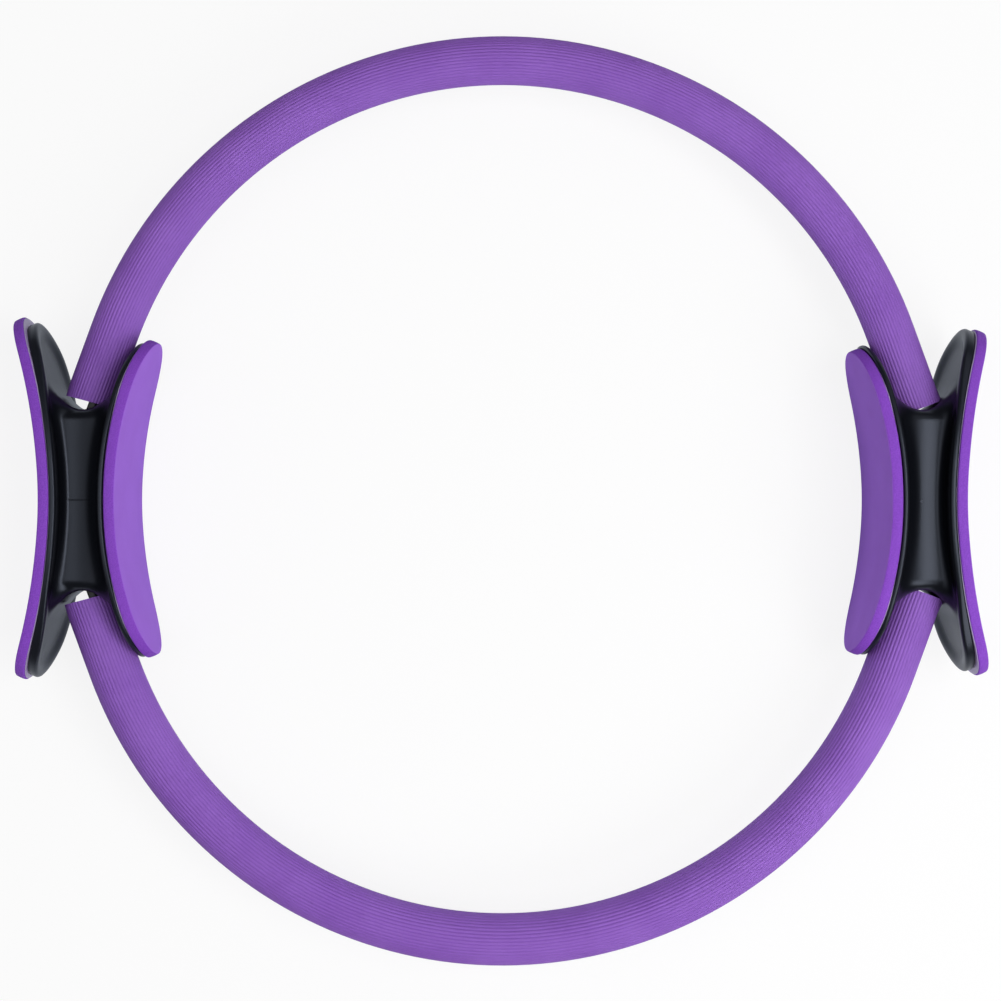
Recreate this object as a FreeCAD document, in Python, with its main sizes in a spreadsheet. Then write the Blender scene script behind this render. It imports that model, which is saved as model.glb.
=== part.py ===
import FreeCAD
import Part
import Sketcher
import math
import os

from FreeCAD import Placement, Rotation, Vector

# A pilates ring that lies flat. The ring's axis is Z, the handles are at -X and +X, and the crowns of
# the foam hoop at -Y and +Y. The origin is below the ring's centre, on the surface that it lies on.
doc = FreeCAD.newDocument("pilates_ring")

dimensions = {
    # Hoop: two half hoops, each an arc that runs out straight into the handles
    "hoop_radius": 167.0,
    "hoop_offset": 10.8,
    "straight_angle": 20.0,
    # Foam sleeves on the hoop, ribbed along their length
    "upper_sleeve_diameter": 19.7,
    "lower_sleeve_diameter": 21.0,
    "sleeve_end_gap": 6.0,
    "sleeve_clearance": 1.35,
    "rib_count": 38,
    "rib_depth": 0.4,
    # Relief between the two halves of a sleeve, where the hoop bends at its crown
    "crown_gap": 0.4,
    "crown_inner_angle": 10.8,
    "crown_outer_angle": 2.8,
    # Spring strips of fibreglass inside the sleeves
    "strip_width": 9.0,
    "strip_thickness": 3.2,
    "strip_offset": 2.4,
    "strip_bend_radius": 30.0,
    "strip_end_height": 8.0,
    "strip_clearance": 0.3,
    # Handles: two curved flanges on a hub
    "handle_width": 55.0,
    "strip_depth": 13.0,
    "outer_curve_radius": 178.0,
    "inner_curve_radius": 162.0,
    "flange_thickness": 2.2,
    "outer_flange_length": 138.0,
    "inner_flange_length": 121.0,
    "outer_flat_length": 24.0,
    "inner_flat_length": 20.0,
    "outer_end_radius": 21.0,
    "inner_end_radius": 22.0,
    "rim_fillet": 0.7,
    "hub_length": 71.0,
    "hub_width": 30.0,
    "hub_corner": 6.5,
    "hub_fillet": 3.0,
    # Foam pads and the adhesive film behind them
    "outer_pad_thickness": 4.2,
    "inner_pad_thickness": 4.4,
    "pad_overhang": 1.2,
    "pad_side_inset": 0.4,
    "film_thickness": 0.3,
    "film_inset": 0.5,
    # Screws through the hub that hold the ends of the strips
    "screw_place": 16.0,
    "screw_diameter": 2.9,
    "screw_length": 14.0,
    "screw_head_diameter": 5.6,
    "screw_head_height": 1.5,
    "screw_sink": 0.4,
    "screw_clearance": 0.1,
    # Overrun of every cutting shape, and the distance within which a point counts as on a face
    "overrun": 5.0,
    "face_tolerance": 0.01,
}

sheet = doc.addObject("Spreadsheet::Sheet", "sizes")
for row, (alias, number) in enumerate(dimensions.items(), 1):
    sheet.set(f"A{row}", alias)
    sheet.set(f"B{row}", str(number))
    sheet.setAlias(f"B{row}", alias)
doc.recompute()

# Rules that several pieces share, as expressions on the sheet
middle = "handle_width / 2"
outer_film_radius = "outer_curve_radius + outer_pad_thickness"
inner_film_radius = "inner_curve_radius + inner_pad_thickness"
outer_flange_radius = f"{outer_film_radius} + film_thickness"
inner_flange_radius = f"{inner_film_radius} + film_thickness"
strip_radius = "( hoop_radius - strip_offset )"
strip_corner = "sqrt( ( strip_offset + strip_thickness / 2 ) ^ 2 + ( strip_width / 2 ) ^ 2 )"
bore_radius = f"( {strip_corner} + strip_clearance )"

# The handles stand on the straight ends of the hoop: the outer face is a depth outside the strip, and the
# inner flange clears the fatter sleeve where the two run side by side
mouth_rise = "( hoop_offset - hub_length / 2 ) * tan( straight_angle )"
mouth_place = f"{strip_radius} / cos( straight_angle ) + {mouth_rise}"
strip_end_place = f"{mouth_place} + strip_bend_radius * ( 1 - cos( straight_angle ) )"
outer_place = f"( {strip_end_place} + strip_depth )"
outer_centre = f"( {outer_place} + outer_curve_radius )"
sleeve_side = "hoop_radius + hoop_offset * sin( straight_angle ) - lower_sleeve_diameter / 2"
flange_side = f"{sleeve_side} - sleeve_clearance - ( {inner_flange_radius} + flange_thickness )"
inner_centre = f"( {flange_side} ) / cos( straight_angle )"
inner_place = f"( {inner_centre} + inner_curve_radius )"

# Places along an arc that define it, and places along an edge where it is tested
arc_shares = (0, 0.5, 1)
edge_shares = (0, 0.25, 0.5, 0.75, 1)

pieces = []


def expression(rule):
    return " ".join(f"sizes.{word}" if word in dimensions else word for word in rule.split())


def size(rule):
    return float(sheet.evalExpression(expression(rule)))


def bind(thing, **rules):
    for path, rule in rules.items():
        thing.setExpression(path.replace("__", "."), expression(rule))
    return thing


def piece(thing):
    thing.Label = thing.Name
    pieces.append(thing)
    return thing


def mirrored(source, name, normal):
    copy = doc.addObject("Part::Mirroring", name)
    copy.Source = source
    copy.Normal = normal
    return copy


def boolean(kind, name, base, tool):
    thing = doc.addObject(f"Part::{kind}", name)
    thing.Base = base
    thing.Tool = tool
    return thing


def upright_cylinder(name, centre, radius):
    cylinder = doc.addObject("Part::Cylinder", name)
    cylinder.Placement.Rotation = Rotation(Vector(0, 0, 1), 90)
    bind(cylinder, Radius=radius, Height="handle_width + 2 * overrun")
    return bind(cylinder, Placement__Base__x=centre, Placement__Base__z="0 - overrun")


# Outlines of flanges and pads, seen along X: an oval of tangent arcs and two short flats


def oval_prism(name, half_length, half_width, half_flat, end_radius):
    reach, rise, flat, end = (size(rule) for rule in (half_length, half_width, half_flat, end_radius))
    run = reach - end - flat
    side = (run ** 2 + rise ** 2 - end ** 2) / (2 * (rise - end))
    lean = math.atan2(run, side - rise)

    def rim(share, along, up):
        across = flat + side * math.sin(share * lean)
        height = rise - side + side * math.cos(share * lean)
        return Vector(0, along * across, size(middle) + up * height)

    edges = []
    for up in (1, -1):
        edges.append(Part.makeLine(rim(0, -1, up), rim(0, 1, up)))
        for along in (1, -1):
            edges.append(Part.Arc(*[rim(share, along, up) for share in arc_shares]).toShape())
    for along in (1, -1):
        tip = Vector(0, along * reach, size(middle))
        edges.append(Part.Arc(rim(1, along, 1), tip, rim(1, along, -1)).toShape())
    outline = doc.addObject("Part::Feature", f"{name}_outline")
    outline.Shape = Part.Face(Part.Wire(Part.__sortEdges__(edges)))
    prism = doc.addObject("Part::Extrusion", f"{name}_prism")
    prism.Base = outline
    prism.DirMode = "Custom"
    prism.Dir = Vector(1, 0, 0)
    prism.Solid = True
    return bind(prism, LengthFwd=outer_centre)


def curved_slab(name, prism, centre, radius, thickness):
    outside = upright_cylinder(f"{name}_outside", centre, f"{radius} + {thickness}")
    inside = upright_cylinder(f"{name}_inside", centre, radius)
    shell = boolean("Cut", f"{name}_shell", outside, inside)
    return boolean("Common", name, shell, prism)


# Spring strips: a flat strip bent to the hoop, with its ends bent upright in the hubs


def origin_plane(body, role):
    return next(item for item in body.Origin.OriginFeatures if item.Role == role)


def sketch_on(body, name, role):
    sketch = body.newObject("Sketcher::SketchObject", f"{body.Name}_{name}")
    sketch.AttachmentSupport = [(origin_plane(body, role), "")]
    sketch.MapMode = "FlatFace"
    return sketch


def constrain(sketch, limits):
    for constraint, rule in limits:
        index = sketch.addConstraint(Sketcher.Constraint(*constraint, size(rule)))
        sketch.setExpression(f"Constraints[{index}]", expression(rule))


def strip_path(body, end_height):
    sketch = sketch_on(body, "path", "XY_Plane")
    bind(sketch, AttachmentOffset__Base__z=middle)
    radius = size(strip_radius)
    bend = size("strip_bend_radius")
    mouth = size("hub_length / 2")
    turn = math.radians(size("straight_angle"))
    outward = Vector(math.cos(turn), math.sin(turn), 0)
    up = Vector(0, 0, 1)
    hoop_centre = Vector(0, size("hoop_offset"), 0)
    arc_end = hoop_centre + outward * radius
    bend_start = Vector(arc_end.x + (arc_end.y - mouth) * math.tan(turn), mouth, 0)
    bend_centre = bend_start - outward * bend
    bend_end = bend_centre + Vector(bend, 0, 0)
    sketch.addGeometry([
        Part.ArcOfCircle(Part.Circle(hoop_centre, up, radius), turn, math.pi / 2),
        Part.LineSegment(arc_end, bend_start),
        Part.ArcOfCircle(Part.Circle(bend_centre, up, bend), 0, turn),
        Part.LineSegment(bend_end, Vector(bend_end.x, size(end_height), 0)),
    ])
    for ends in [(0, 1, 1, 1), (1, 2, 2, 2), (2, 1, 3, 1)]:
        sketch.addConstraint(Sketcher.Constraint("Tangent", *ends))
    sketch.addConstraint(Sketcher.Constraint("PointOnObject", 0, 3, -2))
    sketch.addConstraint(Sketcher.Constraint("PointOnObject", 0, 2, -2))
    sketch.addConstraint(Sketcher.Constraint("Vertical", 3))
    constrain(sketch, [
        (("Radius", 0), strip_radius),
        (("Radius", 2), "strip_bend_radius"),
        (("DistanceY", -1, 1, 0, 3), "hoop_offset"),
        (("DistanceY", 0, 3, 0, 1), f"{strip_radius} * sin( straight_angle )"),
        (("DistanceY", -1, 1, 1, 2), "hub_length / 2"),
        (("DistanceY", -1, 1, 3, 2), end_height),
    ])
    return sketch


def strip_section(body, thickness, width):
    sketch = sketch_on(body, "section", "YZ_Plane")
    crown = size(f"hoop_offset + {strip_radius}")
    half = Vector(size(thickness) / 2, size(width) / 2, 0)
    corners = [Vector(crown + x * half.x, size(middle) + y * half.y, 0)
               for x, y in ((-1, -1), (1, -1), (1, 1), (-1, 1))]
    for index, corner in enumerate(corners):
        sketch.addGeometry(Part.LineSegment(corner, corners[(index + 1) % 4]))
    for index in range(4):
        sketch.addConstraint(Sketcher.Constraint("Coincident", index, 2, (index + 1) % 4, 1))
        way = "Vertical" if index % 2 else "Horizontal"
        sketch.addConstraint(Sketcher.Constraint(way, index))
    constrain(sketch, [
        (("DistanceX", 0, 1, 0, 2), thickness),
        (("DistanceY", 1, 1, 1, 2), width),
        (("DistanceX", -1, 1, 0, 1), f"hoop_offset + {strip_radius} - ( {thickness} ) / 2"),
        (("DistanceY", -1, 1, 0, 1), f"{middle} - ( {width} ) / 2"),
    ])
    return sketch


def bent_strip(name, thickness, width, end_height):
    body = doc.addObject("PartDesign::Body", name)
    path = strip_path(body, end_height)
    section = strip_section(body, thickness, width)
    doc.recompute()
    half = body.newObject("PartDesign::AdditivePipe", f"{name}_half")
    half.Profile = section
    half.Spine = (path, [f"Edge{index}" for index in range(1, 5)])
    doc.recompute()
    whole = body.newObject("PartDesign::Mirrored", f"{name}_whole")
    whole.Originals = [half]
    whole.MirrorPlane = (origin_plane(body, "YZ_Plane"), [""])
    body.Tip = whole
    doc.recompute()
    return body


def strip_with_holes(name):
    body = bent_strip(name, "strip_thickness", "strip_width", "strip_end_height")
    sketch = sketch_on(body, "hole", "YZ_Plane")
    place = Vector(size("screw_place"), size(middle), 0)
    hole = "screw_diameter / 2 + strip_clearance"
    sketch.addGeometry(Part.Circle(place, Vector(0, 0, 1), size(hole)))
    constrain(sketch, [
        (("Radius", 0), hole),
        (("DistanceX", -1, 1, 0, 3), "screw_place"),
        (("DistanceY", -1, 1, 0, 3), middle),
    ])
    before = body.Shape.Volume
    holes = body.newObject("PartDesign::Pocket", f"{name}_holes")
    holes.Profile = sketch
    holes.Type = "ThroughAll"
    holes.Midplane = True
    body.Tip = holes
    doc.recompute()
    if body.Shape.Volume >= before:
        raise RuntimeError("the strip's screw holes cut nothing")
    return body


# Foam sleeves: a ribbed round section with a bore, swept along a quarter of the hoop from its crown


def ribbed_section(diameter):
    turn = math.radians(size("straight_angle"))
    radial = Vector(math.cos(turn), math.sin(turn), 0)
    axial = Vector(0, 0, 1)
    centre = Vector(0, size("hoop_offset"), size(middle)) + radial * size("hoop_radius")
    crest = size(diameter) / 2
    valley = crest - size("rib_depth")
    step = 2 * math.pi / int(size("rib_count"))

    def at(reach, ribs):
        return centre + radial * (reach * math.cos(ribs * step)) + axial * (reach * math.sin(ribs * step))

    ribs = [Part.Arc(at(valley, rib), at(crest, rib + 0.5), at(valley, rib + 1)).toShape()
            for rib in range(int(size("rib_count")))]
    along = axial.cross(radial)
    bore = Part.makeCircle(size(bore_radius), centre, along)
    return Part.makeFace([Part.Wire(ribs), Part.Wire(bore)], "Part::FaceMakerBullseye")


def crown_relief(diameter):
    reach = size(diameter)
    crown = size("hoop_offset + hoop_radius")
    near = size("crown_gap") / 2
    inner_lean = reach * math.tan(math.radians(size("crown_inner_angle")))
    outer_lean = reach * math.tan(math.radians(size("crown_outer_angle")))
    points = [
        Vector(near, crown, 0),
        Vector(near + outer_lean, crown + reach, 0),
        Vector(-reach, crown + reach, 0),
        Vector(-reach, crown - reach, 0),
        Vector(near + inner_lean, crown - reach, 0),
    ]
    outline = Part.Face(Part.makePolygon(points + points[:1]))
    return outline.extrude(Vector(0, 0, size("handle_width")))


def right_sleeve(name, diameter, placement):
    section = ribbed_section(diameter)
    turn = math.radians(size("straight_angle"))
    hoop_centre = Vector(0, size("hoop_offset"), 0)
    arc = section.revolve(hoop_centre, Vector(0, 0, 1), 90 - size("straight_angle"))
    drop = size("hoop_offset + hoop_radius * sin( straight_angle ) - hub_length / 2 - sleeve_end_gap")
    straight = section.extrude(Vector(math.sin(turn), -math.cos(turn), 0) * (drop / math.cos(turn)))
    sleeve = doc.addObject("Part::Feature", name)
    sleeve.Shape = arc.fuse(straight).cut(crown_relief(diameter))
    sleeve.Placement = placement
    return sleeve


# Handles: a hub between two curved flanges, sockets for the strips, and screws under the outer pad


def hub_block(name):
    block = doc.addObject("Part::Box", f"{name}_block")
    bind(block, Length=f"{outer_place} - {inner_place} + 2 * overrun")
    bind(block, Placement__Base__x=f"{inner_place} - overrun")
    bind(block, Width="hub_length", Placement__Base__y="0 - hub_length / 2")
    bind(block, Height="hub_width", Placement__Base__z=f"{middle} - hub_width / 2")
    doc.recompute()
    rounded = doc.addObject("Part::Fillet", f"{name}_rounded")
    rounded.Base = block
    boxes = [edge.BoundBox for edge in block.Shape.Edges]
    along = [index for index, box in enumerate(boxes, 1) if box.XLength > box.YLength + box.ZLength]
    rounded.Edges = [(index, size("hub_corner"), size("hub_corner")) for index in along]
    shape = rounded
    for side, centre, radius in (("outer", outer_centre, outer_flange_radius),
                                 ("inner", inner_centre, inner_flange_radius)):
        core = upright_cylinder(f"{name}_{side}_core", centre, f"{radius} + flange_thickness / 2")
        shape = boolean("Cut", f"{name}_{side}_trim", shape, core)
    return shape


def on_cylinder(point, centre, radius):
    return abs(math.hypot(point.x - size(centre), point.y) - size(radius)) < size("face_tolerance")


def in_hub(point):
    high = abs(point.y) < size("hub_length / 2 + face_tolerance")
    return high and abs(point.z - size(middle)) < size("hub_width / 2 + face_tolerance")


def edges_on(shape, faces, wanted):
    found = []
    for index, edge in enumerate(shape.Edges, 1):
        points = [edge.valueAt(edge.FirstParameter + share * (edge.LastParameter - edge.FirstParameter))
                  for share in edge_shares]
        for centre, radius in faces:
            if all(on_cylinder(point, centre, radius) and wanted(point) for point in points):
                found.append(index)
    return found


def filleted(base, name, edges, radius):
    rounded = doc.addObject("Part::Fillet", name)
    rounded.Base = base
    rounded.Edges = [(index, size(radius), size(radius)) for index in edges]
    doc.recompute()
    return rounded


def rounded_frame(frame):
    doc.recompute()
    fronts = [(outer_centre, outer_flange_radius), (inner_centre, inner_flange_radius)]
    backs = [(centre, f"{radius} + flange_thickness") for centre, radius in fronts]
    rooted = filleted(frame, "frame_roots", edges_on(frame.Shape, backs, in_hub), "hub_fillet")
    rims = edges_on(rooted.Shape, fronts, lambda point: True)
    rims += edges_on(rooted.Shape, backs, lambda point: not in_hub(point))
    return filleted(rooted, "frame_rims", rims, "rim_fillet")


def screw(name, clearance, run_out):
    face = f"{outer_centre} - sqrt( ( {outer_flange_radius} ) ^ 2 - screw_place ^ 2 ) - screw_sink"
    cone = doc.addObject("Part::Cone", f"{name}_head")
    bind(cone, Radius1=f"screw_head_diameter / 2 + {clearance}", Radius2=f"screw_diameter / 2 + {clearance}")
    bind(cone, Height="screw_head_height", Placement__Base__x=face)
    shank = doc.addObject("Part::Cylinder", f"{name}_shank")
    bind(shank, Radius=f"screw_diameter / 2 + {clearance}")
    bind(shank, Height=f"screw_length - screw_head_height + {clearance}")
    bind(shank, Placement__Base__x=f"{face} - screw_head_height")
    shapes = [cone, shank]
    if run_out:
        mouth = doc.addObject("Part::Cylinder", f"{name}_mouth")
        bind(mouth, Radius=f"screw_head_diameter / 2 + {clearance}", Height="overrun")
        bind(mouth, Placement__Base__x=f"{face} + overrun")
        shapes.append(mouth)
    for shape in shapes:
        shape.Placement.Rotation = Rotation(Vector(0, 1, 0), -90)
        bind(shape, Placement__Base__y="screw_place", Placement__Base__z=middle)
    whole = doc.addObject("Part::MultiFuse", name)
    whole.Shapes = shapes
    return whole


def both_screws(name, clearance, run_out):
    upper = screw(f"{name}_upper", clearance, run_out)
    pair = doc.addObject("Part::Compound", name)
    pair.Links = [upper, mirrored(upper, f"{name}_lower", Vector(0, 1, 0))]
    return pair


upper_strip = piece(strip_with_holes("upper_spring_strip"))
piece(mirrored(upper_strip, "lower_spring_strip", Vector(0, 1, 0)))

turned_over = Placement(Vector(0, 0, size("handle_width")), Rotation(Vector(1, 0, 0), 180))
for half, placement in (("upper", Placement()), ("lower", turned_over)):
    right = piece(right_sleeve(f"{half}_right_sleeve", f"{half}_sleeve_diameter", placement))
    piece(mirrored(right, f"{half}_left_sleeve", Vector(1, 0, 0)))

right_pieces = []
flanges = []
for side, centre, pad_radius, film_radius, flange_radius in (
    ("outer", outer_centre, "outer_curve_radius", outer_film_radius, outer_flange_radius),
    ("inner", inner_centre, "inner_curve_radius", inner_film_radius, inner_flange_radius),
):
    reach = f"{side}_flange_length / 2"
    flat = f"{side}_flat_length / 2"
    end = f"{side}_end_radius"
    flange_prism = oval_prism(f"{side}_flange", reach, middle, flat, end)
    pad_prism = oval_prism(f"{side}_pad", f"{reach} + pad_overhang", f"{middle} - pad_side_inset", flat, end)
    film_prism = oval_prism(f"{side}_film", f"{reach} + pad_overhang - film_inset",
                            f"{middle} - pad_side_inset - film_inset", flat, f"{end} - film_inset")
    flanges.append(curved_slab(f"{side}_flange", flange_prism, centre, flange_radius, "flange_thickness"))
    right_pieces += [
        curved_slab(f"right_{side}_pad", pad_prism, centre, pad_radius, f"{side}_pad_thickness"),
        curved_slab(f"right_{side}_film", film_prism, centre, film_radius, "film_thickness"),
    ]

solid_frame = doc.addObject("Part::MultiFuse", "solid_frame")
solid_frame.Shapes = flanges + [hub_block("hub")]
socket = bent_strip("upper_socket", "strip_thickness + 2 * strip_clearance",
                    "strip_width + 2 * strip_clearance", "strip_end_height - strip_clearance")
cuts = doc.addObject("Part::Compound", "frame_cuts")
cuts.Links = [
    socket,
    mirrored(socket, "lower_socket", Vector(0, 1, 0)),
    both_screws("screw_holes", "screw_clearance", True),
]
right_pieces.append(boolean("Cut", "right_handle_frame", rounded_frame(solid_frame), cuts))
right_pieces.append(both_screws("right_strip_screws", "0", False))
for right in right_pieces:
    piece(right)
    piece(mirrored(right, right.Name.replace("right", "left"), Vector(1, 0, 0)))

doc.recompute()
for thing in doc.Objects:
    if "Invalid" in thing.State or "Error" in thing.State:
        raise RuntimeError(f"{thing.Label} is {thing.State}")
for thing in pieces:
    if thing.Shape.isNull() or not thing.Shape.isValid():
        raise RuntimeError(f"{thing.Label} has no valid shape")

os.makedirs("parts", exist_ok=True)
for thing in pieces:
    thing.Shape.exportStep(f"parts/{thing.Label}.step")
    print(thing.Label, len(thing.Shape.Solids), round(thing.Shape.Volume, 1))
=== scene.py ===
import math

import bmesh
import bpy
from mathutils import Matrix, Vector
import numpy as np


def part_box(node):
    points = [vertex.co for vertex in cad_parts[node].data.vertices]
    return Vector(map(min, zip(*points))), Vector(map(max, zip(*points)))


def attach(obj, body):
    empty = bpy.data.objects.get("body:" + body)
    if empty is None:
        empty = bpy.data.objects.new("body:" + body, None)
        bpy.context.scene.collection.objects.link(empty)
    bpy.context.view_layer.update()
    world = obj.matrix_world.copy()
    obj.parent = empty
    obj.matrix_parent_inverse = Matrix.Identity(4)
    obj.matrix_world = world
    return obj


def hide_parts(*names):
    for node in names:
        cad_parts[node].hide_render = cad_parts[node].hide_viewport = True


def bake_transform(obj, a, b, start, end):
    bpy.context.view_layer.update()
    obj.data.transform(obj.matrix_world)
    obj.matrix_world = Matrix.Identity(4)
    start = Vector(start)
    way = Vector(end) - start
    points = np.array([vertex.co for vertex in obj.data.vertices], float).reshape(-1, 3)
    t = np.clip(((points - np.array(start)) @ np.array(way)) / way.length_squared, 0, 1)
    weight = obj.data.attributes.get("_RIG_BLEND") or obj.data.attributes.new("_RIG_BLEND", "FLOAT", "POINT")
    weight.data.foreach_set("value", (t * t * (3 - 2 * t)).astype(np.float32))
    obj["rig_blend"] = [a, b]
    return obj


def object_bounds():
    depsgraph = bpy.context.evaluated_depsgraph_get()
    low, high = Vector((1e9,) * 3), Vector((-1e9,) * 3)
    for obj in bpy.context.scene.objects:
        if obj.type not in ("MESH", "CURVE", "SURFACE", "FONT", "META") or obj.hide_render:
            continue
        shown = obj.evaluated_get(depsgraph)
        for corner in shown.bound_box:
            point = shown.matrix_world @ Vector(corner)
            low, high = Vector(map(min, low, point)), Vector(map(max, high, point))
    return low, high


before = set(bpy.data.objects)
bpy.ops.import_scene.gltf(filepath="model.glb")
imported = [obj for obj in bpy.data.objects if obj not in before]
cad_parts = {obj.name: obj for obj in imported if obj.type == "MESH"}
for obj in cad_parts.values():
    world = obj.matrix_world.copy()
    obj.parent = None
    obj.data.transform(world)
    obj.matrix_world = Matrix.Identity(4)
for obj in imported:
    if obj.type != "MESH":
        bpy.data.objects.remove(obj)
cadLow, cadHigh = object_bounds()
print("frame loaded:", len(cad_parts), "nodes")

# The ring lies flat: its axis is Z, the handles are at -X and +X, the crowns of the hoop at -Y and +Y
hoop = {
    "radius": 0.167,                # middle line of the foam
    "offset": 0.0108,               # each half hoop's centre, away from the ring's centre
    "straight": math.radians(20),   # where the arc runs out straight into the handles
    "mouth": 0.0355,                # end of a handle's hub
    "height": (cadLow.z + cadHigh.z) / 2,
    "arcSteps": 84,
    "straightSteps": 6,
    "bendReach": 0.150,             # the hoop bends over this half width about its crown
}


# Shader values: Python operators on a Value add Math nodes

class Value:
    def __init__(self, finish, socket):
        self.finish = finish
        self.socket = socket

    def math(self, operation, first, second):
        return self.finish.node("ShaderNodeMath", {"operation": operation}, {0: first, 1: second})

    def __add__(self, other):
        return self.math("ADD", self, other)

    def __radd__(self, other):
        return self.math("ADD", other, self)

    def __mul__(self, other):
        return self.math("MULTIPLY", self, other)

    def __rmul__(self, other):
        return self.math("MULTIPLY", other, self)


class Finish:
    def __init__(self, name):
        self.material = bpy.data.materials.new(name)
        self.material.use_nodes = True
        self.tree = self.material.node_tree
        self.tree.nodes.clear()
        self.place = self.node("ShaderNodeTexCoord", output="Object")

    def node(self, kind, settings=None, inputs=None, output=0):
        made = self.tree.nodes.new(kind)
        for key, setting in (settings or {}).items():
            if key == "stops":
                elements = made.color_ramp.elements
                elements[0].position, elements[1].position = setting
            else:
                setattr(made, key, setting)
        for key, value in (inputs or {}).items():
            if isinstance(value, Value):
                self.tree.links.new(value.socket, made.inputs[key])
            else:
                made.inputs[key].default_value = value
        return Value(self, made.outputs[output]) if made.outputs else made

    def noise(self, scale, detail=3.0, stretch=None):
        place = self.place
        if stretch:
            place = self.node("ShaderNodeMapping", None, {"Vector": place, "Scale": stretch})
        return self.node("ShaderNodeTexNoise", None, {"Vector": place, "Scale": scale, "Detail": detail})

    def cells(self, scale):
        return self.node("ShaderNodeTexVoronoi", None, {"Vector": self.place, "Scale": scale})

    def ramp(self, value, low, high):
        return self.node("ShaderNodeValToRGB", {"stops": (low, high)}, {"Fac": value})

    def attribute(self, name):
        return self.node("ShaderNodeAttribute", {"attribute_name": name}, output="Fac")

    def mix(self, factor, first, second):
        return self.node("ShaderNodeMix", {"data_type": "RGBA"}, {0: factor, 6: first, 7: second}, output=2)

    def bump(self, height, distance):
        return self.node("ShaderNodeBump", None, {"Height": height, "Distance": distance})

    def surface(self, inputs):
        shader = self.node("ShaderNodeBsdfPrincipled", None, inputs)
        self.node("ShaderNodeOutputMaterial", None, {"Surface": shader})
        return self.material


def shade(red, green, blue):   # a colour as seen on screen, 0 to 255, as linear light
    def linear(level):
        level /= 255
        return level / 12.92 if level <= 0.04045 else ((level + 0.055) / 1.055) ** 2.4
    return (linear(red), linear(green), linear(blue), 1.0)


# Finishes

sleeveLook = {
    "crest": shade(146, 97, 195),
    # dark foam colour: painted shade in the rib valleys, also the dark tone of the grain
    "groove": shade(101, 56, 153),
    "mottle": shade(137, 87, 186),
    "grain": 2600,
    "pores": 1500,
    "patches": 45,
    # how strongly the rib valleys are painted darker as shade
    "grooveShadeShare": 0.36,
    "grainShare": 0.12,
    "gloss": 0.34,
    "relief": 0.00007,
}


def sleeveFoam():
    f = Finish("sleeveFoam")
    grain = f.noise(sleeveLook["grain"], 2.0)
    pores = f.cells(sleeveLook["pores"])
    patches = f.ramp(f.noise(sleeveLook["patches"], 4.0), 0.35, 0.7)
    colour = f.mix(patches, sleeveLook["crest"], sleeveLook["mottle"])
    # the rib valleys are painted darker: painted shade in the grooves
    colour = f.mix(f.attribute("groove") * sleeveLook["grooveShadeShare"], colour, sleeveLook["groove"])
    # the grain darkens at random towards the same colour, the foam's own tone
    colour = f.mix(grain * sleeveLook["grainShare"], colour, sleeveLook["groove"])
    return f.surface({
        "Base Color": colour,
        "Roughness": 0.5 + grain * 0.14,
        "Specular IOR Level": sleeveLook["gloss"],
        "Normal": f.bump(grain * 0.6 + pores * 0.4, sleeveLook["relief"]),
    })


padLook = {
    "face": shade(158, 105, 216),
    "faceShade": shade(154, 101, 211),
    "cut": shade(137, 74, 197),
    "cutShade": shade(120, 61, 180),
    "grain": 3000,
    "cells": 2100,
    "patches": 60,
    "grainShare": 0.14,
    "gloss": 0.2,
    "relief": 0.00009,
}


def padFoam():
    f = Finish("padFoam")
    grain = f.noise(padLook["grain"], 2.0)
    cells = f.cells(padLook["cells"])
    patches = f.ramp(f.noise(padLook["patches"], 4.0), 0.35, 0.7)
    cut = f.attribute("cut")
    face = f.mix(patches, padLook["face"], padLook["faceShade"])
    edge = f.mix(f.ramp(cells, 0.1, 0.7), padLook["cutShade"], padLook["cut"])
    colour = f.mix(cut, face, edge)
    colour = f.mix(grain * padLook["grainShare"], colour, padLook["cutShade"])
    return f.surface({
        "Base Color": colour,
        "Roughness": 0.66 + grain * 0.16,
        "Specular IOR Level": padLook["gloss"],
        "Normal": f.bump(grain * 0.5 + cells * (0.3 + cut * 0.5), padLook["relief"]),
    })


mouldingLook = {
    "base": shade(8, 9, 14),
    # paler tone of flow marks and scuffs, also a painted highlight along the flange rim
    "paleMarkAndRimHighlight": shade(26, 28, 36),
    "sheen": (0.72, 0.80, 1.0, 1.0),   # cool tint of its reflections
    "rough": 0.28,
    "gloss": 0.36,
    "satin": 1900,
    "flow": 38,
    "scuffs": 260,
    "relief": 0.00002,
}


def blackMoulding():
    f = Finish("blackMoulding")
    satin = f.noise(mouldingLook["satin"], 3.0)
    flow = f.ramp(f.noise(mouldingLook["flow"], 5.0, (1.0, 0.3, 1.0)), 0.4, 0.75)   # faint
    scuffs = f.ramp(f.noise(mouldingLook["scuffs"], 6.0, (1.0, 0.25, 1.0)), 0.66, 0.82)
    # flow marks and scuffs are the moulding's own paler tone; the rim edge gets a painted highlight in the
    # same colour
    colour = f.mix(flow * 0.18 + scuffs * 0.25 + f.attribute("edge") * 0.3,
                   mouldingLook["base"], mouldingLook["paleMarkAndRimHighlight"])
    return f.surface({
        "Base Color": colour,
        "Roughness": mouldingLook["rough"] + flow * 0.06 + scuffs * 0.12 + satin * 0.06,
        "Specular IOR Level": mouldingLook["gloss"],
        "Specular Tint": mouldingLook["sheen"],
        "Normal": f.bump(satin, mouldingLook["relief"]),
    })


filmLook = {
    "dark": shade(150, 132, 178),
    "pale": shade(182, 170, 200),
    "ripple": 420,
    "relief": 0.00004,
}


def adhesiveFilm():
    f = Finish("adhesiveFilm")
    ripple = f.noise(filmLook["ripple"], 3.0)
    return f.surface({
        "Base Color": f.mix(ripple, filmLook["dark"], filmLook["pale"]),
        "Roughness": 0.3 + ripple * 0.2,
        "Normal": f.bump(ripple, filmLook["relief"]),
    })


stripLook = {
    "dark": shade(14, 14, 17),
    "pale": shade(40, 40, 46),
    "fibres": 1500,
    "relief": 0.00003,
}


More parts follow.
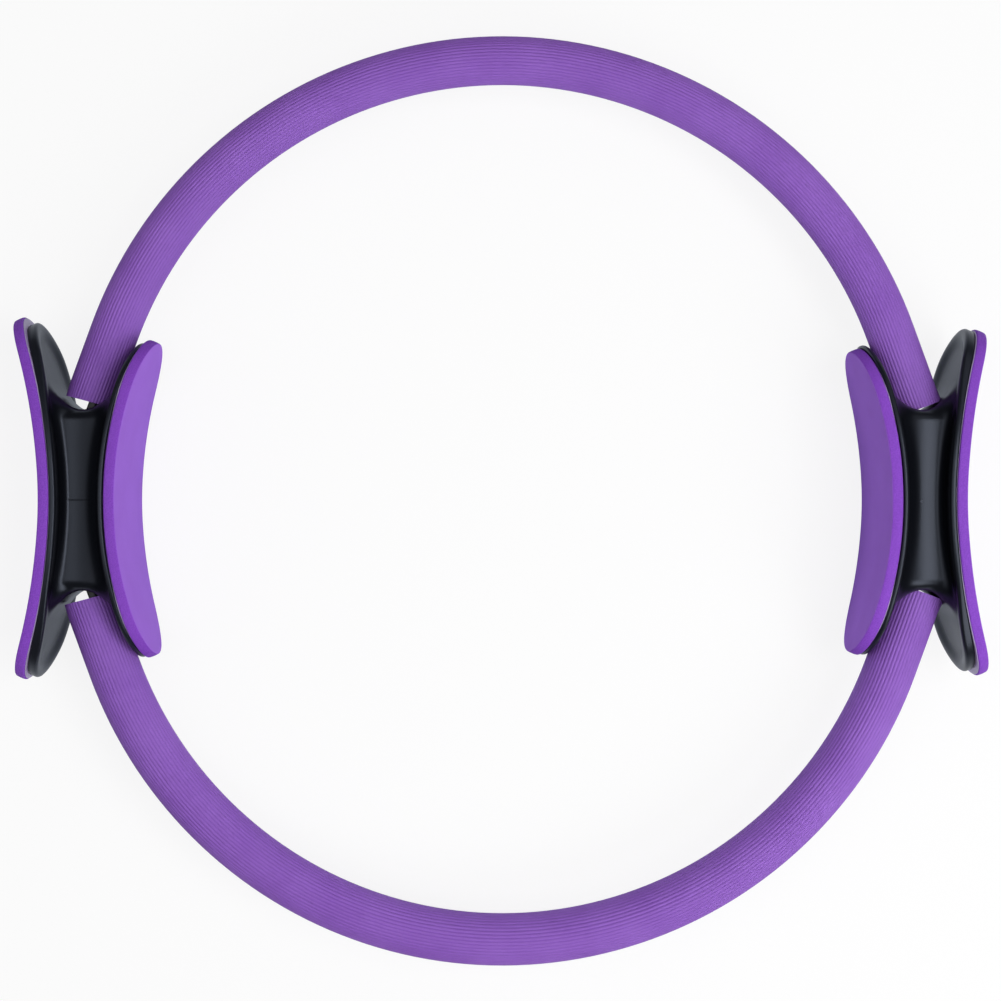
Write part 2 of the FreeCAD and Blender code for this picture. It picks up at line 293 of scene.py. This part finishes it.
def stripComposite():
    f = Finish("stripComposite")
    fibres = f.noise(stripLook["fibres"], 4.0, (1.0, 0.06, 1.0))
    return f.surface({
        "Base Color": f.mix(fibres, stripLook["dark"], stripLook["pale"]),
        "Roughness": 0.38 + fibres * 0.2,
        "Normal": f.bump(fibres, stripLook["relief"]),
    })


screwLook = {
    "dark": shade(150, 152, 158),
    "pale": shade(196, 198, 204),
    "turned": 2400,
    "relief": 0.00001,
}


def screwSteel():
    f = Finish("screwSteel")
    turned = f.noise(screwLook["turned"], 3.0, (0.2, 1.0, 1.0))
    return f.surface({
        "Base Color": f.mix(turned, screwLook["dark"], screwLook["pale"]),
        "Metallic": 1.0,
        "Roughness": 0.24 + turned * 0.18,
        "Normal": f.bump(turned, screwLook["relief"]),
    })


finishes = {
    "purple_sleeve": sleeveFoam(),
    "purple_pad": padFoam(),
    "black_moulding": blackMoulding(),
    "adhesive_film": adhesiveFilm(),
    "strip_composite": stripComposite(),
    "screw_steel": screwSteel(),
}
print("finishes made:", len(finishes))


# Mesh helpers

def addPiece(name, bm, slot):
    bmesh.ops.remove_doubles(bm, verts=bm.verts[:], dist=1e-7)
    bmesh.ops.recalc_face_normals(bm, faces=bm.faces[:])
    mesh = bpy.data.meshes.new(name)
    bm.to_mesh(mesh)
    bm.free()
    mesh.materials.append(finishes[slot])
    piece = bpy.data.objects.new(name, mesh)
    bpy.context.scene.collection.objects.link(piece)
    return piece


def smooth(piece, angle):
    for face in piece.data.polygons:
        face.use_smooth = True
    piece.data.set_sharp_from_angle(angle=angle)
    return piece


def newVerts(made):
    return [item for item in made if isinstance(item, bmesh.types.BMVert)]


def ringVerts(ring):
    return {vert for edge in ring for vert in edge.verts}


def ringEdges(verts):
    found = set(verts)
    return [edge for edge in {e for v in verts for e in v.link_edges} if set(edge.verts) <= found]


def extrudeRing(bm, ring, place):   # ring is a list of edges; place gives each new vertex its point
    made = newVerts(bmesh.ops.extrude_edge_only(bm, edges=ring)["geom"])
    for vert in made:
        vert.co = place(vert)
    return ringEdges(made)


def sideName(sign):
    return "right" if sign > 0 else "left"


def flip(bm, x=1, y=1):   # to the other side of the ring, in X or in Y
    bmesh.ops.scale(bm, vec=(x, y, 1), verts=bm.verts[:])
    if x * y < 0:
        bmesh.ops.reverse_faces(bm, faces=bm.faces[:])


def bendAtCrown(piece, half, side):
    crown = side * (hoop["offset"] + hoop["radius"])
    reach = hoop["bendReach"]
    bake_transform(piece, half + "_left_arm", half + "_right_arm",
             start=(-reach, crown, hoop["height"]), end=(reach, crown, hoop["height"]))


# Foam sleeves: ribbed tubes on the two half hoops

sleeve = {
    "upperRadius": 0.0096,
    "lowerRadius": 0.0103,
    "bore": 0.0063,
    "boreSteps": 88,
    "ribs": 44,
    "ribSteps": 8,
    "ribDepth": 0.00024,
    "gap": {1: 0.0016, -1: 0.0042},   # from the hub's end to the foam, on the middle line: right, left
    "endLean": {1: 0.0, -1: 0.10},    # of the cut, in Y for each X
    "seat": 0.0003,                   # the foam stops this far from the hub's end
    "sharp": math.radians(50),
}


def sectionRing(bm, radius, steps, depth):
    made = bmesh.ops.create_circle(bm, segments=steps, radius=radius)["verts"]
    groove = bm.verts.layers.float["groove"]
    for vert in made:
        turn = math.atan2(vert.co.y, vert.co.x) / (2 * math.pi) * sleeve["ribs"]
        ridge = 1 - (2 * (turn % 1) - 1) ** 2
        vert.co *= 1 - (1 - ridge) * depth / radius
        # depth into the rib valley, where the finish paints shade into the grooves
        vert[groove] = (1 - ridge) ** 3
    bmesh.ops.rotate(bm, verts=made, cent=(0, 0, 0), matrix=Matrix.Rotation(math.pi / 2, 3, "X"))
    bmesh.ops.translate(bm, verts=made, vec=(hoop["radius"], 0, 0))
    bmesh.ops.rotate(bm, verts=made, cent=(0, 0, 0), matrix=Matrix.Rotation(hoop["straight"], 3, "Z"))
    bmesh.ops.translate(bm, verts=made, vec=(0, hoop["offset"], hoop["height"]))
    return ringEdges(made)


def straightRun(bm, ring, direction, length, steps):
    step = direction * (length / steps)
    for _ in range(steps):
        ring = extrudeRing(bm, ring, lambda vert: vert.co + step)
    return ring


def sweepHoop(bm, ring, rightRun, leftRun):
    turn = hoop["straight"]
    made = bmesh.ops.spin(
        bm, geom=ring + list(ringVerts(ring)), cent=(0, hoop["offset"], hoop["height"]),
        axis=(0, 0, 1), dvec=(0, 0, 0), angle=math.pi - 2 * turn, steps=hoop["arcSteps"])["geom_last"]
    farRing = ringEdges(newVerts(made))
    right = Vector((math.sin(turn), -math.cos(turn), 0))
    left = Vector((-math.sin(turn), -math.cos(turn), 0))
    return (straightRun(bm, ring, right, rightRun, hoop["straightSteps"]),
            straightRun(bm, farRing, left, leftRun, hoop["straightSteps"]))


def endPlace(gap, inward=0.0):   # X of the middle line, or of a line inward of it, at a gap before the hub
    turn = hoop["straight"]
    drop = hoop["offset"] - hoop["mouth"] - gap
    return (hoop["radius"] - inward) / math.cos(turn) + drop * math.tan(turn)


def runLength(gap):   # straight stretch from the end of the arc to a gap before the hub
    drop = hoop["offset"] + hoop["radius"] * math.sin(hoop["straight"]) - hoop["mouth"] - gap
    return drop / math.cos(hoop["straight"])


def trimEnd(ring, sign):   # leans the cut, and presses it flat where it meets the hub
    middle = endPlace(sleeve["gap"][sign])
    for vert in ringVerts(ring):
        lean = (abs(vert.co.x) - middle) * sleeve["endLean"][sign]
        vert.co.y = max(vert.co.y - lean, hubEnd(abs(vert.co.x)) + sleeve["seat"])
    return ring


def makeSleeve(half, side):
    radius = sleeve[half + "Radius"]
    bm = bmesh.new()
    bm.verts.layers.float.new("groove")
    outside = sectionRing(bm, radius, sleeve["ribs"] * sleeve["ribSteps"], sleeve["ribDepth"])
    inside = sectionRing(bm, sleeve["bore"], sleeve["boreSteps"], 0.0)
    ends = [sweepHoop(bm, ring, runLength(sleeve["gap"][1]), runLength(sleeve["gap"][-1]))
            for ring in (outside, inside)]
    for sign, outer, inner in zip((1, -1), *ends):
        bmesh.ops.bridge_loops(bm, edges=trimEnd(outer, sign) + trimEnd(inner, sign))
    flip(bm, y=side)
    piece = smooth(addPiece(half + "Sleeve", bm, "purple_sleeve"), sleeve["sharp"])
    bendAtCrown(piece, half, side)
    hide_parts(half + "_left_sleeve", half + "_right_sleeve")


# Outlines of flanges, pads and hub, seen along X: quarters made of runs of (length, turn)

def ovalRuns(reach, rise, flat, end):
    run = reach - end - flat
    bow = (run ** 2 + rise ** 2 - end ** 2) / (2 * (rise - end))
    lean = math.atan2(run, bow - rise)
    return [(flat, 0), (bow * lean, lean), (end * (math.pi / 2 - lean), math.pi / 2 - lean)]


def walkRuns(top, runs, share):   # the point at a share of the quarter, and the heading there
    left = share * sum(length for length, turn in runs)
    y, z, heading = 0.0, top, 0.0
    for length, turn in runs:
        step = min(left, length)
        bend = turn * step / length
        if turn:
            radius = length / turn
            y += radius * (math.sin(heading + bend) - math.sin(heading))
            z += radius * (math.cos(heading + bend) - math.cos(heading))
        else:
            y += step * math.cos(heading)
            z -= step * math.sin(heading)
        heading += bend
        left -= step
    return y, z, heading


def spokeShare(spoke, shares):   # a ring's vertices run clockwise from the top: quarter, signs and share
    quarter, place = divmod(spoke, len(shares))
    ySign = 1 if quarter in (0, 1) else -1
    zSign = 1 if quarter in (0, 3) else -1
    return shares[place if quarter in (0, 2) else len(shares) - 1 - place], ySign, zSign


def outlinePoint(top, runs, shares, spoke, grow=0.0):
    share, ySign, zSign = spokeShare(spoke, shares)
    y, z, heading = walkRuns(top, runs, share)
    return ySign * (y + grow * math.sin(heading)), zSign * (z + grow * math.cos(heading))


def startRing(bm, count):
    spokes = bm.verts.layers.int.new("spoke")
    made = bmesh.ops.create_circle(bm, segments=count, radius=1)["verts"]
    for vert in made:
        angle = math.atan2(vert.co.x, vert.co.y) % (2 * math.pi)
        vert[spokes] = round(angle / (2 * math.pi) * count) % count
    return ringEdges(made), spokes


def capRing(bm, ring):   # closes a ring with strips from its upper to its lower edge
    level = hoop["height"]
    sides = [[e for e in ring if all((v.co.z - level) * way > 0 for v in e.verts)] for way in (1, -1)]
    bmesh.ops.bridge_loops(bm, edges=sides[0] + sides[1])


# Handles: curved flanges on a hub, with foam pads

handle = {
    "outer": {
        "way": -1,
        "contact": 0.1825,       # radius of the flange's face, under the film
        "pad": 0.0042,
        "reach": {1: 0.0683, -1: 0.0702},   # right, left
        "flat": 0.0120,
        "end": 0.0210,
        "lip": 0.0003,
        "lipAtTip": 0.0018,
        "overhang": {1: (0.0011, 0.0031), -1: (0.0037, 0.0023)},   # of the pad, at the upper and lower tip
        "sideFillet": (0.0042, 0.0030),   # along the hub's outline and along X
        "endFillet": (0.0110, 0.0105),
    },
    "inner": {
        "way": 1,
        "contact": 0.1667,
        "pad": 0.0044,
        "reach": {1: 0.0622, -1: 0.0628},
        "flat": 0.0100,
        "end": 0.0240,
        "lip": 0.0,
        "lipAtTip": 0.0,
        "overhang": {1: (-0.0006, 0.0008), -1: (0.0020, 0.0010)},
        "sideFillet": (0.0080, 0.0070),
        "endFillet": (0.0090, 0.0110),
    },
    "rise": 0.0275,
    "flange": 0.0022,
    "film": 0.0003,
    "sideInset": 0.0004,
    "endSteps": 12,
}
handle["outer"]["centre"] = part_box("right_outer_film")[0].x + handle["outer"]["contact"]
handle["inner"]["centre"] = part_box("right_inner_film")[1].x - handle["inner"]["contact"]


def wrap(side, y, z, depth):   # a point of the flat outline, bent round the flange, depth behind its face
    spec = handle[side]
    turn = math.asin(y / spec["contact"])
    radius = spec["contact"] + depth
    return Vector((spec["centre"] + spec["way"] * radius * math.cos(turn),
                   radius * math.sin(turn), hoop["height"] + z))


def behind(side, y, z, depth):   # a point of the hub's outline, depth from the flange's back
    contact = handle[side]["contact"] + handle["flange"]
    return wrap(side, y * contact / (contact + depth), z, handle["flange"] + depth)


def quarterTurn(steps):
    return [math.pi / 2 * step / steps for step in range(steps + 1)]


def hubEnd(x):   # how far the hub's end reaches in Y, with its fillets at the flanges
    edge = []
    for side in ("outer", "inner"):
        up, along = handle[side]["endFillet"]
        edge += [behind(side, hoop["mouth"] + up * (1 - math.sin(a)), 0.0, along * (1 - math.cos(a)))
                 for a in quarterTurn(handle["endSteps"])]
    edge.sort(key=lambda point: point.x)
    for first, last in zip(edge, edge[1:]):
        if first.x <= x <= last.x:
            return first.lerp(last, (x - first.x) / (last.x - first.x)).y
    return hoop["mouth"]


pad = {
    "spokes": 40,       # in a quarter of the outline
    "round": 0.0006,
    "roundSteps": 4,
    "sideSteps": 3,
    "bulge": 0.00012,   # the cut sides swell a little
    "cutFrom": 1.0,     # angle round the front edge where the cut foam starts
    "filmRound": 0.000075,
    "filmTrim": {"outer": 0.0007, "inner": 0.0016},
    "sharp": math.radians(40),
}


def layerProfile(far, near, r, bulge):   # (grow, depth, on the cut side) from the front edge to the back edge
    rows = [(-r * (1 - math.sin(a)), far + r * (1 - math.cos(a)), 1.0 if a > pad["cutFrom"] else 0.0)
            for a in quarterTurn(pad["roundSteps"])]
    for step in range(1, pad["sideSteps"]):
        part = step / pad["sideSteps"]
        rows.append((bulge * math.sin(math.pi * part), far + r + (near - far - 2 * r) * part, 1.0))
    return rows + [(-r * (1 - math.cos(a)), near - r * (1 - math.sin(a)), 1.0)
                   for a in quarterTurn(pad["roundSteps"])]


def makeLayer(side, sign, rise, trim, profile):   # a thin oval layer bent round a flange
    spec = handle[side]
    shares = [(place + 0.5) / pad["spokes"] for place in range(pad["spokes"])]
    runs = {way: ovalRuns(spec["reach"][sign] + over - trim, rise, spec["flat"], spec["end"])
            for way, over in zip((1, -1), spec["overhang"][sign])}
    bm = bmesh.new()
    cut = bm.verts.layers.float.new("cut")
    ring, spokes = startRing(bm, 4 * pad["spokes"])

    def placed(grow, depth):
        def where(vert):
            ySign = spokeShare(vert[spokes], shares)[1]
            return wrap(side, *outlinePoint(rise, runs[ySign], shares, vert[spokes], grow), depth)
        return where

    first = ring
    for place, (grow, depth, isCut) in enumerate(profile):
        where = placed(grow, depth)
        if place == 0:
            for vert in ringVerts(ring):
                vert.co = where(vert)
        else:
            ring = extrudeRing(bm, ring, where)
        for vert in ringVerts(ring):
            vert[cut] = isCut
    capRing(bm, first)
    capRing(bm, ring)
    flip(bm, x=sign)
    return bm


def makePad(side, sign):
    near = -handle["film"]
    profile = layerProfile(near - handle[side]["pad"], near, pad["round"], pad["bulge"])
    bm = makeLayer(side, sign, handle["rise"] - handle["sideInset"], 0.0, profile)
    name = sideName(sign)
    piece = smooth(addPiece(name + side.capitalize() + "Pad", bm, "purple_pad"), pad["sharp"])
    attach(piece, name + "_handle")
    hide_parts(f"{name}_{side}_pad")


def makeFilm(side, sign):
    trim = pad["filmTrim"][side]
    profile = layerProfile(-handle["film"], 0.0, pad["filmRound"], 0.0)
    bm = makeLayer(side, sign, handle["rise"] - handle["sideInset"] - trim, trim, profile)
    name = sideName(sign)
    piece = smooth(addPiece(name + side.capitalize() + "Film", bm, "adhesive_film"), pad["sharp"])
    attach(piece, name + "_handle")
    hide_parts(f"{name}_{side}_film")


for sign in (1, -1):
    for side in ("outer", "inner"):
        makePad(side, sign)
        makeFilm(side, sign)
print("pads and films made")


moulding = {
    "spokes": 60,
    "fineSpokes": (0.5, 1.5, 3.5),   # close to the middle, in half widths of the bead
    "rimRound": 0.0007,
    "rimSteps": 4,
    "backRound": 0.0012,
    "backSteps": 5,
    "rimHighlightWidth": 0.0006,               # width of the painted highlight along the rim's edge
    "lipWidth": 0.0020,
    "lipSlope": 0.0060,
    "lipSteps": 6,
    "lipStart": 0.45,                # shares of the reach: where the lip starts to rise, and its run
    "lipRun": 0.40,
    "hubLength": 0.071,
    "hubWidth": 0.030,
    "hubCorner": 0.0042,
    "filletSteps": 8,
    "faceSteps": 10,
    "hubSteps": 8,
    "dish": 0.026,                   # radius of the hub's shallow hollow along X, and its middle
    "dishMiddle": 0.1690,
    "bead": {1: 0.0, -1: 0.00006},   # parting line round the middle of the hub: right, left
    "beadHalf": 0.00016,
    "gate": (0.1656, -0.0006),       # where the plastic went in, on the right hub
    "gateRadius": 0.0010,
    "gateTip": 0.0005,
    "gateHeight": 0.0006,
    "gateSides": 24,
    "sharp": math.radians(60),
}


def frameShares():   # close spokes near the middle carry the parting line
    quarter = moulding["hubLength"] / 2 + moulding["hubWidth"] / 2
    fine = [moulding["beadHalf"] * step / quarter for step in moulding["fineSpokes"]]
    count = moulding["spokes"]
    return fine + [fine[-1] + (1 - fine[-1]) * (place + 0.5) / count for place in range(count)]


def flangeProfile():   # (grow, depth, lip share) from the face round the rim to the back
    r, b = moulding["rimRound"], moulding["backRound"]
    t = handle["flange"]
    profile = [(-r * (1 - math.sin(a)), r * (1 - math.cos(a)), 0)
               for a in quarterTurn(moulding["rimSteps"])]
    profile += [(-b * (1 - math.cos(a)), t - b * (1 - math.sin(a)), 1)
                for a in quarterTurn(moulding["backSteps"])]
    profile.append((-moulding["lipWidth"], t, 1))
    for step in range(1, moulding["lipSteps"] + 1):
        part = step / moulding["lipSteps"]
        grow = -moulding["lipWidth"] - moulding["lipSlope"] * part
        profile.append((grow, t, 0.5 + 0.5 * math.cos(math.pi * part)))
    return profile


def addGate(bm):
    x, y = moulding["gate"]
    top = hoop["height"] + moulding["hubWidth"] / 2
    bmesh.ops.create_cone(bm, cap_ends=True, segments=moulding["gateSides"], radius1=moulding["gateRadius"],
                          radius2=moulding["gateTip"], depth=2 * moulding["gateHeight"],
                          matrix=Matrix.Translation((x, y, top)))


def makeFrame(sign):
    shares = frameShares()
    runs = {}
    for side in ("outer", "inner"):
        spec = handle[side]
        runs[side] = ovalRuns(spec["reach"][sign], handle["rise"], spec["flat"], spec["end"])
    corner = moulding["hubCorner"]
    hubTop = moulding["hubWidth"] / 2
    hubRuns = [(moulding["hubLength"] / 2 - corner, 0),
               (corner * math.pi / 2, math.pi / 2),
               (hubTop - corner, 0)]
    bm = bmesh.new()
    edge = bm.verts.layers.float.new("edge")
    ring, spokes = startRing(bm, 4 * len(shares))

    def lipHeight(side, y):
        spec = handle[side]
        tip = (abs(y) / spec["reach"][sign] - moulding["lipStart"]) / moulding["lipRun"]
        tip = min(1.0, max(0.0, tip))
        return spec["lip"] + (spec["lipAtTip"] - spec["lip"]) * tip * tip * (3 - 2 * tip)

    def flangePoint(side, grow, depth, lip):
        def where(vert):
            y, z = outlinePoint(handle["rise"], runs[side], shares, vert[spokes], grow)
            return wrap(side, y, z, depth + lip * lipHeight(side, y))
        return where

    def filletSize(side, vert):
        share, ySign, zSign = spokeShare(vert[spokes], shares)
        heading = walkRuns(hubTop, hubRuns, share)[2]
        atSide, atEnd = Vector(handle[side]["sideFillet"]), Vector(handle[side]["endFillet"])
        return atSide.lerp(atEnd, math.sin(heading) ** 2)

    def facePoint(side, part, grow):   # across the flange's back, from the rim to the foot of the hub
        def where(vert):
            rim = Vector(outlinePoint(handle["rise"], runs[side], shares, vert[spokes], grow))
            foot = Vector(outlinePoint(hubTop, hubRuns, shares, vert[spokes], filletSize(side, vert)[0]))
            y, z = rim.lerp(foot, part)
            return wrap(side, y, z, handle["flange"])
        return where

    def hubPoint(side, angle):   # round the fillet between the flange's back and the hub
        def where(vert):
            up, along = filletSize(side, vert)
            grow = up * (1 - math.sin(angle))
            y, z = outlinePoint(hubTop, hubRuns, shares, vert[spokes], grow + beadHeight(vert, angle))
            point = behind(side, y, z, along * (1 - math.cos(angle)))
            return point + hollow(vert, point.x) * math.sin(angle)
        return where

    def hollow(vert, x):   # outward of the hub's outline, more towards the flanges
        share, ySign, zSign = spokeShare(vert[spokes], shares)
        heading = walkRuns(hubTop, hubRuns, share)[2]
        rise = (x - moulding["dishMiddle"]) ** 2 / (2 * moulding["dish"])
        return Vector((0, ySign * math.sin(heading), zSign * math.cos(heading))) * rise

    def hubMiddle(part):   # between the two fillets
        outerFoot, innerFoot = hubPoint("outer", math.pi / 2), hubPoint("inner", math.pi / 2)

        def where(vert):
            first, last = outerFoot(vert), innerFoot(vert)
            point = (first - hollow(vert, first.x)).lerp(last - hollow(vert, last.x), part)
            return point + hollow(vert, point.x)
        return where

    def beadHeight(vert, angle):
        share, ySign, zSign = spokeShare(vert[spokes], shares)
        return moulding["bead"][sign] * math.sin(angle) if share <= shares[0] else 0.0

    def addRing(where, grow=None):   # grow is given on the flange's edge, which gets a painted highlight near its rim
        made = extrudeRing(bm, ring, where)
        for vert in ringVerts(made):
            # rows close to the rim are marked for the painted highlight
            vert[edge] = 1.0 if grow is not None and grow > -moulding["rimHighlightWidth"] else 0.0
        return made

    profile = flangeProfile()
    foot = profile[-1][0]
    for vert in ringVerts(ring):
        vert.co = flangePoint("outer", *profile[0])(vert)
    first = ring
    for row in profile[1:]:
        ring = addRing(flangePoint("outer", *row), row[0])
    for step in range(1, moulding["faceSteps"] + 1):
        ring = addRing(facePoint("outer", step / moulding["faceSteps"], foot))
    for angle in quarterTurn(moulding["filletSteps"])[1:]:
        ring = addRing(hubPoint("outer", angle))
    for step in range(1, moulding["hubSteps"]):
        ring = addRing(hubMiddle(step / moulding["hubSteps"]))
    for angle in reversed(quarterTurn(moulding["filletSteps"])):
        ring = addRing(hubPoint("inner", angle))
    for step in reversed(range(moulding["faceSteps"])):
        ring = addRing(facePoint("inner", step / moulding["faceSteps"], foot))
    for row in reversed(profile[:-1]):
        ring = addRing(flangePoint("inner", *row), row[0])
    capRing(bm, first)
    capRing(bm, ring)
    flip(bm, x=sign)
    if sign > 0:
        addGate(bm)
    name = sideName(sign)
    piece = smooth(addPiece(name + "Moulding", bm, "black_moulding"), moulding["sharp"])
    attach(piece, name + "_handle")
    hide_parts(name + "_handle_frame")


for sign in (1, -1):
    makeFrame(sign)
print("mouldings made")

for half, side in (("upper", 1), ("lower", -1)):
    makeSleeve(half, side)
print("sleeves made")


# Spring strips: flat strips in the sleeves, bent upright into the hubs

strip = {
    "width": 0.0090,
    "thickness": 0.0032,
    "round": 0.0006,
    "roundSteps": 3,
    "offset": 0.0024,       # inward of the foam's middle line
    "bend": 0.030,
    "bendSteps": 8,
    "hubRun": 0.017,        # upright end in the hub
    "hubSteps": 2,
    "stub": 0.024,          # from the hub's mouth into the foam
    "stubSteps": 4,
    "give": 0.0045,         # the strip bends over this stretch at the mouth
    "split": 0.0003,        # half the break where two lengths meet
    "sharp": math.radians(45),
}


def stripRing(bm, place, radial):   # a rectangle across the strip at a point
    corners = [place + radial * (x * strip["thickness"] / 2) + Vector((0, 0, z * strip["width"] / 2))
               for x, z in ((-1, -1), (1, -1), (1, 1), (-1, 1))]
    verts = [bm.verts.new(corner) for corner in corners]
    return [bm.edges.new((verts[k], verts[(k + 1) % 4])) for k in range(4)]


def finishStrip(name, bm, ends, ySide, xSide=1):
    for ring in ends:
        bmesh.ops.contextual_create(bm, geom=ring)
    flip(bm, x=xSide, y=ySide)
    piece = addPiece(name, bm, "strip_composite")
    bevel = piece.modifiers.new("rounded", "BEVEL")
    bevel.width = strip["round"]
    bevel.segments = strip["roundSteps"]
    bevel.limit_method = "ANGLE"
    return smooth(piece, strip["sharp"])


def mouthPlace():
    return Vector((endPlace(0.0, strip["offset"]), hoop["mouth"], hoop["height"]))


turn = hoop["straight"]
outward = Vector((math.cos(turn), math.sin(turn), 0))   # across the straight end, away from the ring's centre
upward = Vector((-math.sin(turn), math.cos(turn), 0))   # along the straight end, away from the hub


def stripEnd(name, ySide, xSide, inHub, inFoam):
    mouth = mouthPlace()
    bm = bmesh.new()
    ends = []
    ring = stripRing(bm, mouth + upward * (strip["split"] * (inFoam - inHub)), outward)
    ends.append(straightRun(bm, ring, upward, strip["stub"], strip["stubSteps"]) if inFoam else ring)
    if inHub:
        bent = bmesh.ops.spin(
            bm, geom=ring + list(ringVerts(ring)), cent=mouth - outward * strip["bend"],
            axis=(0, 0, 1), dvec=(0, 0, 0), angle=-turn, steps=strip["bendSteps"])["geom_last"]
        ring = ringEdges(newVerts(bent))
        ends.append(straightRun(bm, ring, Vector((0, -1, 0)), strip["hubRun"], strip["hubSteps"]))
    else:
        ends.append(ring)
    return finishStrip(name, bm, ends, ySide, xSide)


def stripMiddle(half, ySide):
    radius = hoop["radius"] - strip["offset"]
    bm = bmesh.new()
    start = Vector((0, hoop["offset"], hoop["height"])) + outward * radius
    ring = stripRing(bm, start, outward)
    run = (start - mouthPlace()).length - strip["stub"]
    ends = sweepHoop(bm, ring, run, run)
    piece = finishStrip(half + "StripMiddle", bm, ends, ySide)
    bendAtCrown(piece, half, ySide)
    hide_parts(half + "_spring_strip")


for half, ySide in (("upper", 1), ("lower", -1)):
    stripMiddle(half, ySide)
    for name, xSide in (("left", -1), ("right", 1)):
        arm, body = f"{half}_{name}_arm", name + "_handle"
        if (half, name) == ("lower", "right"):   # no joint here: two lengths of strip meet at the mouth
            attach(stripEnd("lowerStripRight", ySide, xSide, False, True), arm)
            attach(stripEnd("lowerStripRightEnd", ySide, xSide, True, False), body)
            continue
        piece = stripEnd(f"{half}Strip{name.capitalize()}", ySide, xSide, True, True)
        give = upward * (strip["give"] / 2)
        first, last = (mouthPlace() + way * give for way in (-1, 1))
        side = Vector((xSide, ySide, 1))
        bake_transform(piece, body, arm, start=first * side, end=last * side)
print("strips made")


# Screws keep their solids

for name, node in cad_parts.items():
    if name.endswith("screws"):
        node.data.materials.clear()
        node.data.materials.append(finishes["screw_steel"])


# Floor, light and camera

studio = {
    "floorSize": 8.0,
    "floorWhite": 0.9,
    "glow": 0.86,            # share of plain white that the camera sees on the floor
    "glossGlow": 0.55,       # and that reflections see, a little cooler
    "glossTint": (0.80, 0.88, 1.0, 1.0),
    "world": 0.14,
    "lamps": {
        "backLight": {"size": 0.7, "place": (0.7, 0.75, 0.9), "watts": 1.0},
        "frontLight": {"size": 0.6, "place": (0.62, -0.50, 0.7), "watts": 4.9},
        "sideLight": {"size": 0.8, "place": (-0.95, -0.05, 0.95), "watts": 1.8},
        "rightTop": {"size": 0.45, "place": (0.40, 0.0, 0.95), "watts": 3.8},
        "leftTop": {"size": 0.45, "place": (-0.26, 0.0, 0.95), "watts": 1.4},
    },
}

view = {
    "place": (-0.0077, -0.0002, 0.7095),
    "lens": 60.6,
    "sensor": 36.0,
    "shift": -0.003,
    "near": 0.01,
}


def makeFloor():
    bm = bmesh.new()
    bmesh.ops.create_grid(bm, x_segments=4, y_segments=4, size=studio["floorSize"] / 2)
    mesh = bpy.data.meshes.new("floor")
    bm.to_mesh(mesh)
    bm.free()
    floor = bpy.data.objects.new("floor", mesh)
    bpy.context.scene.collection.objects.link(floor)
    f = Finish("paleFloor")
    path = {name: f.node("ShaderNodeLightPath", output=name)
            for name in ("Is Camera Ray", "Is Glossy Ray", "Is Transmission Ray")}
    seen = path["Is Camera Ray"] + path["Is Transmission Ray"]
    share = seen * studio["glow"] + path["Is Glossy Ray"] * studio["glossGlow"]
    white = studio["floorWhite"]
    paint = f.node("ShaderNodeBsdfDiffuse", None, {"Color": (white, white, white, 1.0)})
    tint = f.mix(path["Is Glossy Ray"], (1.0, 1.0, 1.0, 1.0), studio["glossTint"])
    glow = f.node("ShaderNodeEmission", None, {"Color": tint, "Strength": 1.0})
    both = f.node("ShaderNodeMixShader", None, {0: share, 1: paint, 2: glow})
    f.node("ShaderNodeOutputMaterial", None, {"Surface": both})
    mesh.materials.append(f.material)


def makeLight(name, spec, target):
    lamp = bpy.data.lights.new(name, "AREA")
    lamp.size = spec["size"]
    lamp.energy = spec["watts"]
    light = bpy.data.objects.new(name, lamp)
    light.location = spec["place"]
    light.rotation_euler = (Vector(target) - Vector(spec["place"])).to_track_quat("-Z", "Y").to_euler()
    bpy.context.scene.collection.objects.link(light)


def makeWorld():
    world = bpy.data.worlds.new("studio")
    world.use_nodes = True
    tree = world.node_tree
    path = tree.nodes.new("ShaderNodeLightPath")
    level = tree.nodes.new("ShaderNodeMapRange")
    level.inputs["To Min"].default_value = studio["world"]
    level.inputs["To Max"].default_value = 1.0
    tree.links.new(path.outputs["Is Camera Ray"], level.inputs["Value"])
    tree.links.new(level.outputs["Result"], tree.nodes["Background"].inputs["Strength"])
    tree.nodes["Background"].inputs["Color"].default_value = (1.0, 1.0, 1.0, 1.0)
    bpy.context.scene.world = world


def makeCamera():
    camera = bpy.data.cameras.new("camera")
    camera.lens = view["lens"]
    camera.shift_x = view["shift"]
    camera.sensor_width = view["sensor"]
    camera.clip_start = view["near"]
    eye = bpy.data.objects.new("camera", camera)
    eye.location = view["place"]
    # turned towards the ring's centre
    eye.rotation_euler.y = math.atan2(eye.location.x, eye.location.z - hoop["height"])
    bpy.context.scene.collection.objects.link(eye)
    bpy.context.scene.camera = eye


makeFloor()
for name, spec in studio["lamps"].items():
    makeLight(name, spec, (0, 0, hoop["height"]))
makeWorld()
makeCamera()
bpy.context.scene.view_settings.view_transform = "Standard"
print("studio made")
